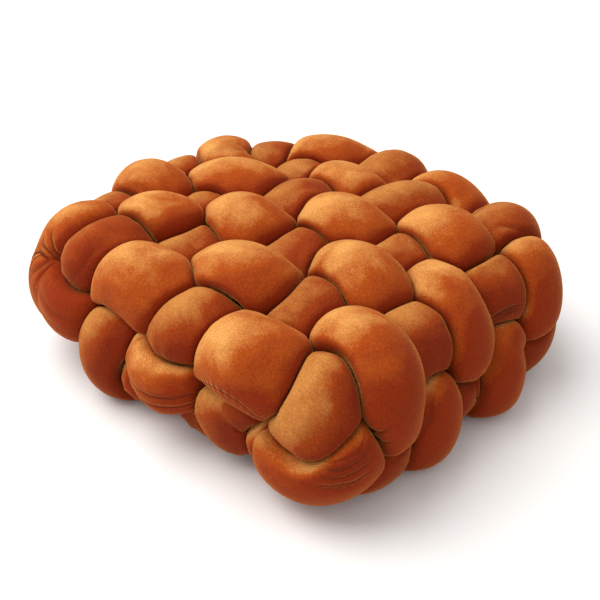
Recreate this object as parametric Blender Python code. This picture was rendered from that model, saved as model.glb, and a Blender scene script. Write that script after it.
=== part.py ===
"""Knot cushion: twelve stuffed velvet tubes, each sewn shut into a ring and woven through the others.

Six rings run along X and six along Y. Their upper passes make the plain weave of the top, six by six.
The four outermost rings stand on the cushion's sides: they come back at half height, outside the others.
The eight inner rings wrap the whole cushion, and their lower passes weave the underside, four by four.

Metres, +Z up. The origin is under the middle of the footprint, on the surface that the cushion rests on.
Lengths in the tables are in pitches, the spacing of the rings on top.
"""

import bpy
import numpy as np
from mathutils.kdtree import KDTree

PITCH = 0.076                 # spacing of the rings on top, centre to centre
TUBE = {"x": 0.62, "y": 0.56}    # radius that a tube swells to where nothing presses on it
COUNT = 6                     # rings in each direction
HALF = (COUNT - 1) / 2        # from the middle of the weave to its outermost rings

TOP_OVER = {"x": 1.84, "y": 1.66}     # middle of a tube that passes over, above the resting surface
TOP_UNDER = {"x": 1.24, "y": 1.42}    # and of one that passes under
BASE_LEVEL = 0.50             # middle of the tube that lies lowest on the underside
BASE_RISE = 0.40              # how much higher the tube over it lies
DOME_EDGE = 0.16              # how far the top falls towards its edges
BASE_EDGE = 0.04              # how far the underside lifts towards its edges

BASE_ROUND = 0.24             # how far its corners are drawn in
BASE_TUCK = 0.22              # how far the upper tube lies further in there
BASE_ROWS = (-2.48, -0.80, 0.80, 2.40)    # the four lower passes, spread across the underside

CLEARANCE = 0.36              # least distance between two middle lines, once the tubes give way
GIVING_STEPS = 40             # steps in which they do
REACH_ALONG = 1.2             # how far along itself a tube first meets itself again

STATIONS = 46                 # rings of points along a tube
SIDES = 14                    # points in each ring
PATH_SAMPLES = 150            # points of a tube's middle line that its neighbours feel
SOFTNESS = 9.0                # how roundly a tube turns into the face that it presses on a neighbour
SEAM_GAP = 0.0018             # space that parts two tubes pressed together
TRIM_STEPS = 14               # rounds of drawing facets clear of the neighbours
TRIM_SHARE = 0.70             # share of an overshoot that each round takes away
THINNEST = 0.003              # radius that is always left
FOLD = 0.93                   # keeps a tube clear of itself inside its tight turns

# How far hand weaving draws each ring aside at its two ends and its middle, and how far it sinks.
DRAWN_X_RINGS = {             # rings along X: at +X, middle, at -X, sunk
    0: (0.45, 0.05, 0.32, -0.05), 1: (0.02, 0.05, 0.22, 0.00), 2: (-0.20, 0.08, 0.05, -0.03),
    3: (-0.46, 0.03, -0.25, 0.00), 4: (-0.66, -0.05, -0.60, 0.06), 5: (-1.00, -0.25, -1.00, 0.16),
}
DRAWN_Y_RINGS = {             # rings along Y: at -Y, middle, at +Y, sunk
    0: (-0.02, 0.02, 0.00, 0.02), 1: (-0.12, 0.05, 0.30, 0.00), 2: (0.00, 0.00, 0.30, 0.00),
    3: (-0.10, -0.10, 0.20, 0.00), 4: (-0.10, -0.05, 0.30, 0.00), 5: (0.20, -0.10, 0.50, 0.22),
}
SUNK = 3                      # the column of how far a ring sinks

# How far the tubes lie from there at each crossing on top: along X, along Y and up. A row for each ring
# along X, from the front, and in it a place for each ring along Y, from +X.
CROSSINGS_ASIDE = (
    ((0.02, 0.00, 0.00), (0.02, -0.08, -0.17), (0.12, 0.26, 0.08),
     (-0.05, 0.10, -0.04), (-0.02, 0.22, 0.14), (0.05, 0.08, -0.04)),
    ((-0.02, -0.16, -0.12), (0.01, 0.19, 0.04), (0.22, -0.18, 0.12),
     (-0.22, 0.22, -0.12), (0.22, 0.01, 0.03), (0.16, -0.18, 0.03)),
    ((0.00, 0.04, -0.06), (0.09, 0.02, 0.01), (-0.09, 0.22, -0.12),
     (0.09, -0.22, -0.05), (0.13, 0.06, -0.12), (-0.02, -0.26, -0.04)),
    ((-0.06, 0.03, -0.16), (-0.03, 0.22, -0.02), (-0.05, -0.16, -0.02),
     (0.07, -0.03, 0.05), (0.22, -0.22, -0.06), (0.02, -0.10, 0.04)),
    ((0.00, 0.06, 0.00), (0.22, -0.20, 0.12), (0.03, -0.09, 0.12),
     (0.07, -0.12, -0.09), (0.22, -0.22, -0.12), (-0.06, -0.28, -0.09)),
    ((0.06, 0.10, -0.06), (0.20, 0.22, 0.09), (0.04, -0.01, -0.07),
     (0.09, 0.22, 0.06), (-0.13, -0.08, -0.09), (0.00, -0.16, 0.03)),
)

# The weave down each side: how far outside the last upper pass, and how high, a middle line runs.
# "pass" is the side pass of an edge ring, outside or inside the ring that crosses it there;
# "over" and "under" are the crossing ring's places, from the top down.
SIDE_WEAVE = {
    "front": {
        "pass_out": ((0.10, 0.88),), "pass_in": ((-0.45, 0.88),),
        "over": ((0.10, 1.00), (0.02, 0.58)), "under": ((-0.02, 1.30), (-0.40, 0.88)),
    },
    "right": {
        "pass_out": ((0.22, 0.64),), "pass_in": ((-0.34, 0.76),),
        "over": ((0.30, 0.88), (0.18, 0.54)), "under": ((0.25, 1.18), (-0.15, 0.74)),
    },
    "back": {
        "pass_out": ((0.15, 0.74),), "pass_in": ((-0.40, 0.80),),
        "over": ((0.15, 0.92), (0.02, 0.58)), "under": ((0.12, 1.18), (-0.22, 0.76)),
    },
    "left": {
        "pass_out": ((0.15, 0.74),), "pass_in": ((-0.40, 0.80),),
        "over": ((0.15, 0.92), (0.02, 0.58)), "under": ((0.12, 1.18), (-0.22, 0.76)),
    },
}

# How far the tubes lie from there at each crossing on the sides: along the side towards +X or +Y, out,
# and up. A place for each ring that crosses the side, from its end at +X or at -Y.
SIDES_ASIDE = {
    "front": (
        (0.00, 0.00, 0.00), (-0.14, 0.04, 0.00), (-0.14, 0.09, 0.11), (-0.19, 0.02, -0.01),
        (-0.10, 0.10, 0.22),
    ),
    "right": (
        (0.00, 0.00, 0.00), (-0.26, -0.04, 0.06), (-0.08, 0.00, -0.06), (-0.12, -0.10, 0.04),
        (-0.24, 0.05, -0.08),
    ),
    "back": ((0.00, 0.00, 0.00),) * (COUNT - 1),
    "left": ((0.00, 0.00, 0.00),) * (COUNT - 1),
}

# The turns of the edge rings at the corners, from the top down. Columns: how far past the last
# crossing, how far outside it, and how high the middle line runs.
CORNER_TURNS = {
    "x0 at +X": ((0.05, 0.00, 1.02), (-0.26, 0.14, 0.73)),
    "x0 at -X": ((0.14, 0.02, 1.38), (0.10, 0.20, 1.06)),
    "y0 at -Y": ((0.14, 0.00, 1.08), (-0.18, 0.08, 0.78)),
    "y0 at +Y": ((0.27, 0.03, 0.96), (0.05, 0.26, 0.62)),
    "x5 at +X": ((0.14, 0.00, 1.14), (-0.15, 0.12, 0.78)),
    "x5 at -X": ((0.05, 0.00, 1.02), (-0.20, 0.14, 0.72)),
    "y5 at -Y": ((0.00, -0.04, 0.92), (0.00, 0.04, 0.58)),
    "y5 at +Y": ((0.14, 0.00, 1.14), (-0.15, 0.12, 0.78)),
}


def drawn(along, places):
    """How far a ring is drawn aside at a place along it, from -1 to 1."""
    first, middle, last = places[:3]
    return middle + (last - first) / 2 * along + ((first + last) / 2 - middle) * along ** 2


def crossing(i, j):
    """Where ring i along Y and ring j along X cross on top, seen from above."""
    x = HALF - i
    y = j - HALF
    return (x + drawn(y / HALF, DRAWN_Y_RINGS[i]), y + drawn(-x / HALF, DRAWN_X_RINGS[j]))


def top_key(i, j, way):
    """A crossing of the top, for the tube that runs along X or along Y there."""
    x, y = crossing(i, j)
    fall = DOME_EDGE * (abs(x / HALF) ** 3 + abs(y / HALF) ** 3)
    level = TOP_OVER[way] if x_ring_over(i, j) == (way == "x") else TOP_UNDER[way]
    aside_x, aside_y, up = CROSSINGS_ASIDE[j][i]
    return (x + aside_x, y + aside_y, level - fall + up)


def base_key(i, j, lowest):
    """A crossing of the underside. Towards the edges the upper tube also lies further in."""
    row_x = -BASE_ROWS[i - 1]
    row_y = BASE_ROWS[j - 1]
    x = row_x * (1.0 - BASE_ROUND * abs(row_y / HALF) ** 3)
    y = row_y * (1.0 - BASE_ROUND * abs(row_x / HALF) ** 3)
    edge = abs(x / HALF) ** 3 + abs(y / HALF) ** 3
    if lowest:
        return (x, y, BASE_LEVEL + BASE_EDGE * edge)
    inward = 1.0 - BASE_TUCK * edge
    return (x * inward, y * inward, BASE_LEVEL + BASE_EDGE * edge + BASE_RISE)


def x_ring_over(i, j):
    """Whether the ring along X passes over the one along Y, on top."""
    return (i + j) % 2 == 1


def side_keys(side, index, role):
    """The weave on one side of the cushion, from the top down, where ring `index` crosses it."""
    keys = []
    x, y = {"front": crossing(index, 0), "back": crossing(index, COUNT - 1),
            "right": crossing(0, index), "left": crossing(COUNT - 1, index)}[side]
    aside, further, up = SIDES_ASIDE[side][index]
    for out, height in SIDE_WEAVE[side][role]:
        if side == "front":
            keys.append((x + aside, y - out - further, height + up))
        elif side == "back":
            keys.append((x + aside, y + out + further, height + up))
        elif side == "right":
            keys.append((x + out + further, y + aside, height + up))
        else:
            keys.append((x - out - further, y + aside, height + up))
    return keys


def top_pass_x(j):
    """The upper pass of a ring along X, towards +X."""
    sunk = DRAWN_X_RINGS[j][SUNK]
    keys = [top_key(i, j, "x") for i in reversed(range(COUNT))]
    return [(x, y, z - sunk) for x, y, z in keys]


def top_pass_y(i):
    """The upper pass of a ring along Y, towards +Y."""
    sunk = DRAWN_Y_RINGS[i][SUNK]
    keys = [top_key(i, j, "y") for j in range(COUNT)]
    return [(x, y, z - sunk) for x, y, z in keys]


def wrapping_x_ring(j):
    """Middle line of an inner ring along X: over the top to +X, down, and back under the cushion."""
    keys = top_pass_x(j)
    keys += side_keys("right", j, "under" if x_ring_over(0, j) else "over")
    keys += [base_key(i, j, (i + j) % 2 == 0) for i in range(1, COUNT - 1)]
    keys += reversed(side_keys("left", j, "under" if x_ring_over(COUNT - 1, j) else "over"))
    return keys


def wrapping_y_ring(i):
    """Middle line of an inner ring along Y: over the top to +Y, down, and back under the cushion."""
    keys = top_pass_y(i)
    keys += side_keys("back", i, "over" if x_ring_over(i, COUNT - 1) else "under")
    keys += [base_key(i, j, (i + j) % 2 == 1) for j in reversed(range(1, COUNT - 1))]
    keys += reversed(side_keys("front", i, "over" if x_ring_over(i, 0) else "under"))
    return keys


def turn_keys(name, corner, past, outside):
    """The turn of an edge ring at a corner, from the top down."""
    x, y = corner
    return [(x + past[0] * along + outside[0] * out, y + past[1] * along + outside[1] * out, height)
            for along, out, height in CORNER_TURNS[name]]


def edge_x_ring(j):
    """Middle line of the first or last ring along X: out on top, back at half height on its side."""
    side, outside = ("front", (0, -1)) if j == 0 else ("back", (0, 1))
    keys = top_pass_x(j)
    keys += turn_keys("x%d at +X" % j, crossing(0, j), (1, 0), outside)
    for i in range(1, COUNT - 1):
        keys += side_keys(side, i, "pass_in" if x_ring_over(i, j) else "pass_out")
    keys += reversed(turn_keys("x%d at -X" % j, crossing(COUNT - 1, j), (-1, 0), outside))
    return keys


def edge_y_ring(i):
    """Middle line of the first or last ring along Y: out on top, back at half height on its side."""
    side, outside = ("right", (1, 0)) if i == 0 else ("left", (-1, 0))
    keys = top_pass_y(i)
    keys += turn_keys("y%d at +Y" % i, crossing(i, COUNT - 1), (0, 1), outside)
    for j in reversed(range(1, COUNT - 1)):
        keys += side_keys(side, j, "pass_out" if x_ring_over(i, j) else "pass_in")
    keys += reversed(turn_keys("y%d at -Y" % i, crossing(i, 0), (0, -1), outside))
    return keys


def closed_curve(keys, count):
    """Evenly spaced points on the smooth closed curve through the keys."""
    points = np.array(keys) * PITCH
    n = len(points)
    step = np.linalg.norm(np.roll(points, -1, axis=0) - points, axis=1)
    before = np.roll(step, 1)
    slopes = np.zeros((n, n))
    pull = np.zeros((n, 3))
    for k in range(n):
        slopes[k, k - 1] = step[k]
        slopes[k, k] = 2.0 * (step[k] + before[k])
        slopes[k, (k + 1) % n] = before[k]
        ahead = (points[(k + 1) % n] - points[k]) / step[k]
        behind = (points[k] - points[k - 1]) / before[k]
        pull[k] = 3.0 * (step[k] * behind + before[k] * ahead)
    tangents = np.linalg.solve(slopes, pull)
    fine = []
    for k in range(n):
        a, b = points[k], points[(k + 1) % n]
        ta, tb = tangents[k] * step[k], tangents[(k + 1) % n] * step[k]
        for t in np.linspace(0.0, 1.0, 40, endpoint=False):
            fine.append(a * (2 * t ** 3 - 3 * t ** 2 + 1) + ta * (t ** 3 - 2 * t ** 2 + t)
                        + b * (3 * t ** 2 - 2 * t ** 3) + tb * (t ** 3 - t ** 2))
    return spaced_along(np.array(fine), count)


def give_way(lines):
    """Push middle lines that run too close apart, each by half of what is missing."""
    names = list(lines)
    start = np.concatenate([lines[name] for name in names])
    ring = np.repeat(np.arange(len(names)), PATH_SAMPLES)
    place = np.tile(np.arange(PATH_SAMPLES), len(names))
    turn = np.abs(place[:, None] - place[None, :])
    turn = np.minimum(turn, PATH_SAMPLES - turn)
    spacing = np.array([np.linalg.norm(lines[name][1] - lines[name][0]) for name in names])
    itself = (ring[:, None] == ring[None, :]) & (turn * spacing[ring][:, None] < REACH_ALONG * PITCH)
    moved = np.zeros_like(start)
    for _ in range(GIVING_STEPS):
        points = start + moved
        apart = np.linalg.norm(points[:, None] - points[None, :], axis=2)
        apart[itself] = np.inf
        nearest = apart.argmin(axis=1)
        distance = apart[np.arange(len(points)), nearest]
        missing = np.maximum(0.0, CLEARANCE * PITCH - distance)
        away = (points - points[nearest]) / distance[:, None]
        push = (away * missing[:, None] / 2).reshape(len(names), PATH_SAMPLES, 3)
        for _ in range(2):
            push = (np.roll(push, 1, axis=1) + 2 * push + np.roll(push, -1, axis=1)) / 4
        moved += 1.4 * push.reshape(-1, 3)
    return {name: (start + moved)[ring == k] for k, name in enumerate(names)}


def spaced_along(line, count):
    """Evenly spaced points along a closed line."""
    loop = np.concatenate([line, line[:1]])
    length = np.concatenate([[0.0], np.cumsum(np.linalg.norm(np.diff(loop, axis=0), axis=1))])
    places = np.linspace(0.0, length[-1], count, endpoint=False)
    return np.stack([np.interp(places, length, loop[:, axis]) for axis in range(3)], axis=1)


def ring_frame(points):
    """Two directions across the tube at each point: out of the ring, and across its plane."""
    along = np.roll(points, -1, axis=0) - np.roll(points, 1, axis=0)
    along /= np.linalg.norm(along, axis=1)[:, None]
    middle = points - points.mean(axis=0)
    plane = np.cross(middle, np.roll(middle, -1, axis=0)).sum(axis=0)
    plane /= np.linalg.norm(plane)
    outward = np.cross(along, plane)
    outward /= np.linalg.norm(outward, axis=1)[:, None]
    return outward, np.cross(along, outward)


def pressed_radius(centre, directions, others, free, ratio):
    """Distance to the face that a tube shares with the points of other middle lines."""
    offset = others - centre
    square = (offset ** 2).sum(axis=1)
    near = (square > 1e-9) & (square < (2.6 * free) ** 2)
    if not near.any():
        return np.full(len(directions), 3.0 * free)
    facing = directions @ offset[near].T
    root = facing ** 2 - (1.0 - ratio * ratio) * square[near]
    meets = (facing > 0.0) & (root > 0.0)
    divisor = np.where(meets, facing + np.sqrt(np.maximum(root, 0.0)), 1.0)
    reach = np.where(meets, square[near] / divisor, 3.0 * free).min(axis=1)
    return np.minimum(reach, 3.0 * free)


def eased(free, shared):
    """The smaller of two radii, with a round turn between them."""
    return (free ** -SOFTNESS + shared ** -SOFTNESS) ** (-1.0 / SOFTNESS)


def search_tree(line):
    """A tree that finds the nearest of a line's points."""
    tree = KDTree(len(line))
    for index, point in enumerate(line):
        tree.insert(point, index)
    tree.balance()
    return tree


def past_shared_face(points, own, others):
    """How far points lie past the face between the nearest bits of two trees of middle lines."""
    mine = np.array([own.find(point)[0] for point in points])
    theirs = np.array([others.find(point)[0] for point in points])
    across = theirs - mine
    width = np.linalg.norm(across, axis=1)
    return ((points - (mine + theirs) / 2) * across).sum(axis=1) / width


def trim(centres, directions, radius, own, others):
    """Draw points in until the flat facets between them also stay clear of the neighbours."""
    for _ in range(TRIM_STEPS):
        points = centres[:, None] + radius[:, :, None] * directions
        cut = np.zeros_like(radius)
        for ahead, aside in ((0, 0), (1, 0), (0, 1), (1, 1), (1, -1)):
            mate = np.roll(points, (-ahead, -aside), axis=(0, 1))
            halfway = ((points + mate) / 2).reshape(-1, 3)
            excess = past_shared_face(halfway, own, others).reshape(radius.shape) + SEAM_GAP / 2
            cut = np.maximum(cut, np.maximum(excess, np.roll(excess, (ahead, aside), axis=(0, 1))))
        radius = np.maximum(radius - TRIM_SHARE * cut, THINNEST)
    return radius


def tube_rings(name, lines):
    """The points of one stuffed tube, pressed flat against its neighbours and the surface below."""
    own = lines[name]
    others = np.concatenate([line for key, line in lines.items() if key != name])
    free = TUBE[name[5]] * PITCH
    centres = spaced_along(own, STATIONS)
    outward, across = ring_frame(centres)
    angles = np.linspace(0.0, 2.0 * np.pi, SIDES, endpoint=False)[None, :, None]
    directions = np.cos(angles) * outward[:, None] + np.sin(angles) * across[:, None]
    shared = np.zeros((STATIONS, SIDES))
    for k, centre in enumerate(centres):
        reach = pressed_radius(centre, directions[k], others, free, 1.0) - SEAM_GAP / 2
        shared[k] = np.minimum(reach, pressed_radius(centre, directions[k], own, free, FOLD))
    radius = trim(centres, directions, eased(free, shared), search_tree(own), search_tree(others))
    floor = centres[:, 2:] / np.maximum(-directions[:, :, 2], 1e-6)
    return centres[:, None] + np.minimum(radius, floor)[:, :, None] * directions


def build_tube(name, rows, material):
    """A closed tube of four-sided faces through the rings of points."""
    count = len(rows)
    vertices = [tuple(point) for row in rows for point in row]
    faces = []
    for k in range(count):
        for side in range(SIDES):
            a = k * SIDES + side
            b = k * SIDES + (side + 1) % SIDES
            c = ((k + 1) % count) * SIDES + (side + 1) % SIDES
            d = ((k + 1) % count) * SIDES + side
            faces.append((a, b, c, d))
    mesh = bpy.data.meshes.new(name)
    mesh.from_pydata(vertices, [], faces)
    mesh.materials.append(material)
    mesh.shade_smooth()
    tube = bpy.data.objects.new(name, mesh)
    bpy.context.collection.objects.link(tube)
    return tube


def velvet(name, colour):
    material = bpy.data.materials.new(name)
    material.use_nodes = True
    shader = material.node_tree.nodes["Principled BSDF"]
    shader.inputs["Base Color"].default_value = (*colour, 1.0)
    shader.inputs["Roughness"].default_value = 0.9
    shader.inputs["Metallic"].default_value = 0.0
    return material


for leftover in list(bpy.data.objects):
    bpy.data.objects.remove(leftover, do_unlink=True)

middle_lines = {}
for index in range(COUNT):
    edge = index in (0, COUNT - 1)
    middle_lines["ring_x%d" % index] = edge_x_ring(index) if edge else wrapping_x_ring(index)
    middle_lines["ring_y%d" % index] = edge_y_ring(index) if edge else wrapping_y_ring(index)

woven = {name: closed_curve(keys, PATH_SAMPLES) for name, keys in middle_lines.items()}
felt_lines = give_way(woven)

tubes = {name: tube_rings(name, felt_lines) for name in middle_lines}
corners = np.concatenate([rows.reshape(-1, 3) for rows in tubes.values()])
footprint = (corners.min(axis=0) + corners.max(axis=0)) / 2 * (1.0, 1.0, 0.0)
for name, rows in tubes.items():
    rust = velvet(name + "_velvet", (0.44, 0.11, 0.022))
    build_tube(name, rows - footprint, rust)
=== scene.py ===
"""Knot cushion: twelve stuffed velvet tubes, each sewn shut into a ring, woven through each other.

The sections follow the cushion as it is made: the way the tubes run in the weave, the stuffing that
presses them against each other, the seams and creases of their velvet, and the velvet itself.
"""

import math

import bpy
import mathutils
import numpy as np
from mathutils.bvhtree import BVHTree
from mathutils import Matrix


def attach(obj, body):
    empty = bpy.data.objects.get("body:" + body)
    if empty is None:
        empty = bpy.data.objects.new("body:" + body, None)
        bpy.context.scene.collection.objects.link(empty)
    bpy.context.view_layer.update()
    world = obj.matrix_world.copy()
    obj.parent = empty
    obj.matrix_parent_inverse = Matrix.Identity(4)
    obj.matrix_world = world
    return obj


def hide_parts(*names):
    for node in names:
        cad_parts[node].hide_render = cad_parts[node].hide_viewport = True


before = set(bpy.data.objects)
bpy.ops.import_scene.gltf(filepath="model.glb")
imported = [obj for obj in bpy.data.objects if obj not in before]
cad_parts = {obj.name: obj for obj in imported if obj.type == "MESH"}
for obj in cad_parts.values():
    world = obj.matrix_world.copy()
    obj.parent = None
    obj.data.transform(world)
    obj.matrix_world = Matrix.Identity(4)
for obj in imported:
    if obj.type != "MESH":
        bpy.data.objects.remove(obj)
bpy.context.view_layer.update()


# --- The weave ------------------------------------------------------------------------------------
# Six tubes run along X and six along Y. On top they make a plain weave. The outermost ones turn down
# at the corners and come back at half height on the sides, and the inner ones wrap the whole cushion.
# A maker lays them by hand, so each is drawn a little aside. Lengths here are in pitches.

PITCH = 0.076                 # spacing of the rings on top, centre to centre, in metres
TUBE = {"x": 0.62, "y": 0.56}         # radius that a tube swells to where nothing presses on it
COUNT = 6                     # rings in each direction
HALF = (COUNT - 1) / 2        # from the middle of the weave to its outermost rings

TOP_OVER = {"x": 1.84, "y": 1.66}     # middle of a tube that passes over, above the resting surface
TOP_UNDER = {"x": 1.24, "y": 1.42}    # and of one that passes under
BASE_LEVEL = 0.50             # middle of the tube that lies lowest on the underside
BASE_RISE = 0.40              # how much higher the tube over it lies
DOME_EDGE = 0.16              # how far the top falls towards its edges
BASE_EDGE = 0.04              # how far the underside lifts towards its edges
EDGE_POWER = 3                # how late that fall and that lift set in

BASE_ROUND = 0.24             # how far its corners are drawn in
BASE_TUCK = 0.22              # how far the upper tube lies further in there
BASE_ROWS = (-2.48, -0.80, 0.80, 2.40)    # the four lower passes, spread across the underside

CLEARANCE = 0.36              # least distance between two middle lines, once the tubes give way
GIVING_STEPS = 40             # steps in which they do
GIVING = 1.4                  # how far they go in a step, in shares of what they are asked to
GIVING_EVEN = 2               # rounds of evening out each step
REACH_ALONG = 1.2             # how far along itself a tube first meets itself again
PATH_SAMPLES = 150            # points of a tube's middle line while it gives way
BETWEEN_KEYS = 40             # points drawn from one key to the next, before they are spaced evenly
FOOTPRINT = (0.00217, -0.00447)       # metres from the origin to the middle of the weave's footprint

# How far hand weaving draws each ring aside at its two ends and its middle, and how far it sinks.
DRAWN_X_RINGS = {             # rings along X: at +X, middle, at -X, sunk
    0: (0.45, 0.05, 0.32, -0.05), 1: (0.02, 0.05, 0.22, 0.00), 2: (-0.20, 0.08, 0.05, -0.03),
    3: (-0.46, 0.03, -0.25, 0.00), 4: (-0.66, -0.05, -0.60, 0.06), 5: (-1.00, -0.25, -1.00, 0.16),
}
DRAWN_Y_RINGS = {             # rings along Y: at -Y, middle, at +Y, sunk
    0: (-0.02, 0.02, 0.00, 0.02), 1: (-0.12, 0.05, 0.30, 0.00), 2: (0.00, 0.00, 0.30, 0.00),
    3: (-0.10, -0.10, 0.20, 0.00), 4: (-0.10, -0.05, 0.30, 0.00), 5: (0.20, -0.10, 0.50, 0.22),
}
SUNK = 3                      # the column that says how far a ring is sunk

# How far the tubes lie from there at each crossing on top: along X, along Y and up. A row for each ring
# along X, from the front, and in it a place for each ring along Y, from +X.
CROSSINGS_ASIDE = (
    ((0.02, 0.00, 0.00), (0.02, -0.08, -0.17), (0.12, 0.26, 0.08),
     (-0.05, 0.10, -0.04), (-0.02, 0.22, 0.14), (0.05, 0.08, -0.04)),
    ((-0.02, -0.16, -0.12), (0.01, 0.19, 0.04), (0.22, -0.18, 0.12),
     (-0.22, 0.22, -0.12), (0.22, 0.01, 0.03), (0.16, -0.18, 0.03)),
    ((0.00, 0.04, -0.06), (0.09, 0.02, 0.01), (-0.09, 0.22, -0.12),
     (0.09, -0.22, -0.05), (0.13, 0.06, -0.12), (-0.02, -0.26, -0.04)),
    ((-0.06, 0.03, -0.16), (-0.03, 0.22, -0.02), (-0.05, -0.16, -0.02),
     (0.07, -0.03, 0.05), (0.22, -0.22, -0.06), (0.02, -0.10, 0.04)),
    ((0.00, 0.06, 0.00), (0.22, -0.20, 0.12), (0.03, -0.09, 0.12),
     (0.07, -0.12, -0.09), (0.22, -0.22, -0.12), (-0.06, -0.28, -0.09)),
    ((0.06, 0.10, -0.06), (0.20, 0.22, 0.09), (0.04, -0.01, -0.07),
     (0.09, 0.22, 0.06), (-0.13, -0.08, -0.09), (0.00, -0.16, 0.03)),
)

# The weave down each side: how far outside the last upper pass, and how high, a middle line runs.
# "pass" is the side pass of an edge ring, outside or inside the ring that crosses it there;
# "over" and "under" are the crossing ring's places, from the top down.
SIDE_WEAVE = {
    "front": {
        "pass_out": ((0.10, 0.88),), "pass_in": ((-0.45, 0.88),),
        "over": ((0.10, 1.00), (0.02, 0.58)), "under": ((-0.02, 1.30), (-0.40, 0.88)),
    },
    "right": {
        "pass_out": ((0.22, 0.64),), "pass_in": ((-0.34, 0.76),),
        "over": ((0.30, 0.88), (0.18, 0.54)), "under": ((0.25, 1.18), (-0.15, 0.74)),
    },
    "back": {
        "pass_out": ((0.15, 0.74),), "pass_in": ((-0.40, 0.80),),
        "over": ((0.15, 0.92), (0.02, 0.58)), "under": ((0.12, 1.18), (-0.22, 0.76)),
    },
    "left": {
        "pass_out": ((0.15, 0.74),), "pass_in": ((-0.40, 0.80),),
        "over": ((0.15, 0.92), (0.02, 0.58)), "under": ((0.12, 1.18), (-0.22, 0.76)),
    },
}

# How far the tubes lie from there at each crossing on the sides: along the side towards +X or +Y, out,
# and up. A place for each ring that crosses the side, from its end at +X or at -Y.
SIDES_ASIDE = {
    "front": (
        (0.00, 0.00, 0.00), (-0.14, 0.04, 0.00), (-0.14, 0.09, 0.11), (-0.19, 0.02, -0.01),
        (-0.10, 0.10, 0.22),
    ),
    "right": (
        (0.00, 0.00, 0.00), (-0.26, -0.04, 0.06), (-0.08, 0.00, -0.06), (-0.12, -0.10, 0.04),
        (-0.24, 0.05, -0.08),
    ),
    "back": ((0.00, 0.00, 0.00),) * (COUNT - 1),
    "left": ((0.00, 0.00, 0.00),) * (COUNT - 1),
}

# The turns of the edge rings at the corners, from the top down. Columns: how far past the last
# crossing, how far outside it, and how high the middle line runs.
CORNER_TURNS = {
    "x0 at +X": ((0.05, 0.00, 1.02), (-0.26, 0.14, 0.73)),
    "x0 at -X": ((0.14, 0.02, 1.38), (0.10, 0.20, 1.06)),
    "y0 at -Y": ((0.14, 0.00, 1.08), (-0.18, 0.08, 0.78)),
    "y0 at +Y": ((0.27, 0.03, 0.96), (0.05, 0.26, 0.62)),
    "x5 at +X": ((0.14, 0.00, 1.14), (-0.15, 0.12, 0.78)),
    "x5 at -X": ((0.05, 0.00, 1.02), (-0.20, 0.14, 0.72)),
    "y5 at -Y": ((0.00, -0.04, 0.92), (0.00, 0.04, 0.58)),
    "y5 at +Y": ((0.14, 0.00, 1.14), (-0.15, 0.12, 0.78)),
}


def drawn(along, places):
    """How far a ring is drawn aside at a place along it, from -1 to 1."""
    first, middle, last = places[:3]
    return middle + (last - first) / 2 * along + ((first + last) / 2 - middle) * along ** 2


def crossing(i, j):
    """Where ring i along Y and ring j along X cross on top, seen from above."""
    x = HALF - i
    y = j - HALF
    return (x + drawn(y / HALF, DRAWN_Y_RINGS[i]), y + drawn(-x / HALF, DRAWN_X_RINGS[j]))


def x_ring_over(i, j):
    """Whether the ring along X passes over the one along Y, on top."""
    return (i + j) % 2 == 1


def top_key(i, j, way):
    """A crossing of the top, for the tube that runs along X or along Y there."""
    x, y = crossing(i, j)
    fall = DOME_EDGE * (abs(x / HALF) ** EDGE_POWER + abs(y / HALF) ** EDGE_POWER)
    level = TOP_OVER[way] if x_ring_over(i, j) == (way == "x") else TOP_UNDER[way]
    aside_x, aside_y, up = CROSSINGS_ASIDE[j][i]
    return (x + aside_x, y + aside_y, level - fall + up)


def base_key(i, j, lowest):
    """A crossing of the underside. Towards the edges the upper tube also lies further in."""
    row_x = -BASE_ROWS[i - 1]
    row_y = BASE_ROWS[j - 1]
    x = row_x * (1.0 - BASE_ROUND * abs(row_y / HALF) ** EDGE_POWER)
    y = row_y * (1.0 - BASE_ROUND * abs(row_x / HALF) ** EDGE_POWER)
    edge = abs(x / HALF) ** EDGE_POWER + abs(y / HALF) ** EDGE_POWER
    if lowest:
        return (x, y, BASE_LEVEL + BASE_EDGE * edge)
    inward = 1.0 - BASE_TUCK * edge
    return (x * inward, y * inward, BASE_LEVEL + BASE_EDGE * edge + BASE_RISE)


def side_keys(side, index, role):
    """The weave on one side of the cushion, from the top down, where ring `index` crosses it."""
    keys = []
    x, y = {"front": crossing(index, 0), "back": crossing(index, COUNT - 1),
            "right": crossing(0, index), "left": crossing(COUNT - 1, index)}[side]
    aside, further, up = SIDES_ASIDE[side][index]
    for out, height in SIDE_WEAVE[side][role]:
        if side == "front":
            keys.append((x + aside, y - out - further, height + up))
        elif side == "back":
            keys.append((x + aside, y + out + further, height + up))
        elif side == "right":
            keys.append((x + out + further, y + aside, height + up))
        else:
            keys.append((x - out - further, y + aside, height + up))
    return keys


def top_pass_x(j):
    """The upper pass of a ring along X, towards +X."""
    sunk = DRAWN_X_RINGS[j][SUNK]
    keys = [top_key(i, j, "x") for i in reversed(range(COUNT))]
    return [(x, y, z - sunk) for x, y, z in keys]


def top_pass_y(i):
    """The upper pass of a ring along Y, towards +Y."""
    sunk = DRAWN_Y_RINGS[i][SUNK]
    keys = [top_key(i, j, "y") for j in range(COUNT)]
    return [(x, y, z - sunk) for x, y, z in keys]


def wrapping_x_ring(j):
    """Middle line of an inner ring along X: over the top to +X, down, and back under the cushion."""
    keys = top_pass_x(j)
    keys += side_keys("right", j, "under" if x_ring_over(0, j) else "over")
    keys += [base_key(i, j, (i + j) % 2 == 0) for i in range(1, COUNT - 1)]
    keys += reversed(side_keys("left", j, "under" if x_ring_over(COUNT - 1, j) else "over"))
    return keys


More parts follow.
